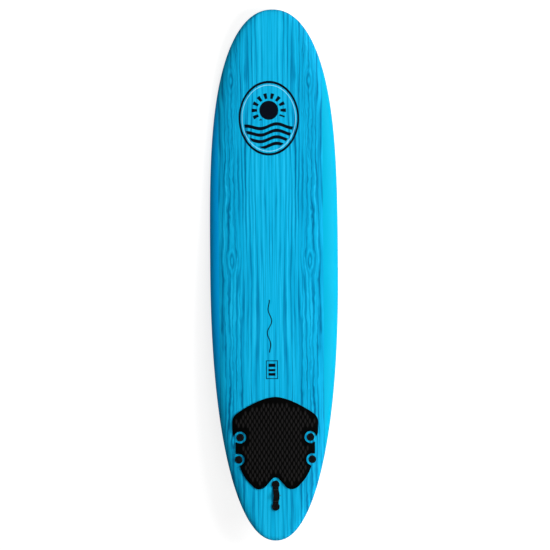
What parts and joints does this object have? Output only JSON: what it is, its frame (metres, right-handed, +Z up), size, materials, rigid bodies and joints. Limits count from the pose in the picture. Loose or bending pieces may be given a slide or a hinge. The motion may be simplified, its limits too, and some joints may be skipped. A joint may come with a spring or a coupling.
{
  "type": "soft-top longboard surfboard",
  "caption": "Foam-cored longboard with a printed foam deck, slick bottom, stringers, bolt-through fins, a traction pad and a leash strap.",
  "frame": {"origin": "middle of the footprint, on the ground that the board stands on with its side fins and its belly", "axes": "+Y from the tail to the nose, +X to the right rail with the deck up, +Z up"},
  "size_m": [0.552, 2.284, 0.1952],
  "materials": {
    "eps_foam": "white expanded polystyrene beads",
    "plywood": "thin plywood",
    "deck_foam": "closed-cell foam, satin, wood-grain print in blues with plain blue rails",
    "slick_plastic": "smooth white polyethylene sheet",
    "pad_foam": "matt black EVA foam with raised lozenges",
    "webbing": "black woven nylon",
    "sleeve_plastic": "moulded grey plastic",
    "fin_plastic": "moulded black plastic, satin",
    "washer_plastic": "moulded black plastic, satin",
    "screw_plastic": "black nylon, satin"
  },
  "bodies": {
    "board": {"core_left": "eps_foam", "core_center": "eps_foam", "core_right": "eps_foam", "stringer_left": "plywood", "stringer_right": "plywood", "deck_skin": "deck_foam", "bottom_skin": "slick_plastic", "traction_pad": "pad_foam", "leash_strap": "webbing", "sleeve_left_front": "sleeve_plastic", "sleeve_left_rear": "sleeve_plastic", "sleeve_center_front": "sleeve_plastic", "sleeve_center_rear": "sleeve_plastic", "sleeve_right_front": "sleeve_plastic", "sleeve_right_rear": "sleeve_plastic"},
    "fin_left": {"fin_left": "fin_plastic"},
    "fin_center": {"fin_center": "fin_plastic"},
    "fin_right": {"fin_right": "fin_plastic"},
    "washer_left_front": {"washer_left_front": "washer_plastic"},
    "screw_left_front": {"screw_left_front": "screw_plastic"},
    "washer_left_rear": {"washer_left_rear": "washer_plastic"},
    "screw_left_rear": {"screw_left_rear": "screw_plastic"},
    "washer_center_front": {"washer_center_front": "washer_plastic"},
    "screw_center_front": {"screw_center_front": "screw_plastic"},
    "washer_center_rear": {"washer_center_rear": "washer_plastic"},
    "screw_center_rear": {"screw_center_rear": "screw_plastic"},
    "washer_right_front": {"washer_right_front": "washer_plastic"},
    "screw_right_front": {"screw_right_front": "screw_plastic"},
    "washer_right_rear": {"washer_right_rear": "washer_plastic"},
    "screw_right_rear": {"screw_right_rear": "screw_plastic"}
  },
  "joints": [
    {"name": "left_front_lift", "type": "slide", "parent": "board", "child": "washer_left_front", "axis": [0, 0.0786, 0.9969], "range_m": [0, 0.015]},
    {"name": "left_front_turn", "type": "hinge", "parent": "washer_left_front", "child": "screw_left_front", "pos_m": [-0.1514, -0.69669, 0.15639], "axis": [0, 0.0786, 0.9969], "range_deg": [0, 1801]},
    {"name": "left_rear_lift", "type": "slide", "parent": "board", "child": "washer_left_rear", "axis": [0, 0.0786, 0.9969], "range_m": [0, 0.015]},
    {"name": "left_rear_turn", "type": "hinge", "parent": "washer_left_rear", "child": "screw_left_rear", "pos_m": [-0.1586, -0.79237, 0.16081], "axis": [0, 0.0786, 0.9969], "range_deg": [0, 1801]},
    {"name": "center_front_lift", "type": "slide", "parent": "board", "child": "washer_center_front", "axis": [0, 0.0786, 0.9969], "range_m": [0, 0.015]},
    {"name": "center_front_turn", "type": "hinge", "parent": "washer_center_front", "child": "screw_center_front", "pos_m": [0, -0.89849, 0.17795], "axis": [0, 0.0786, 0.9969], "range_deg": [0, 1801]},
    {"name": "center_rear_lift", "type": "slide", "parent": "board", "child": "washer_center_rear", "axis": [0, 0.0786, 0.9969], "range_m": [0, 0.015]},
    {"name": "center_rear_turn", "type": "hinge", "parent": "washer_center_rear", "child": "screw_center_rear", "pos_m": [0, -0.9941, 0.18664], "axis": [0, 0.0786, 0.9969], "range_deg": [0, 1801]},
    {"name": "right_front_lift", "type": "slide", "parent": "board", "child": "washer_right_front", "axis": [0, 0.0786, 0.9969], "range_m": [0, 0.015]},
    {"name": "right_front_turn", "type": "hinge", "parent": "washer_right_front", "child": "screw_right_front", "pos_m": [0.1514, -0.69669, 0.15639], "axis": [0, 0.0786, 0.9969], "range_deg": [0, 1801]},
    {"name": "right_rear_lift", "type": "slide", "parent": "board", "child": "washer_right_rear", "axis": [0, 0.0786, 0.9969], "range_m": [0, 0.015]},
    {"name": "right_rear_turn", "type": "hinge", "parent": "washer_right_rear", "child": "screw_right_rear", "pos_m": [0.1586, -0.79237, 0.16081], "axis": [0, 0.0786, 0.9969], "range_deg": [0, 1801]},
    {"name": "fin_left_drop", "type": "slide", "parent": "board", "child": "fin_left", "axis": [0, -0.0786, -0.9969], "range_m": [0, 0.06]},
    {"name": "fin_center_drop", "type": "slide", "parent": "board", "child": "fin_center", "axis": [0, -0.0786, -0.9969], "range_m": [0, 0.06]},
    {"name": "fin_right_drop", "type": "slide", "parent": "board", "child": "fin_right", "axis": [0, -0.0786, -0.9969], "range_m": [0, 0.06]}
  ],
  "couplings": [
    {"joint": "left_front_turn", "follows": "left_front_lift", "rad_per_m": 2094.4},
    {"joint": "left_rear_turn", "follows": "left_rear_lift", "rad_per_m": 2094.4},
    {"joint": "center_front_turn", "follows": "center_front_lift", "rad_per_m": 2094.4},
    {"joint": "center_rear_turn", "follows": "center_rear_lift", "rad_per_m": 2094.4},
    {"joint": "right_front_turn", "follows": "right_front_lift", "rad_per_m": 2094.4},
    {"joint": "right_rear_turn", "follows": "right_rear_lift", "rad_per_m": 2094.4}
  ]
}
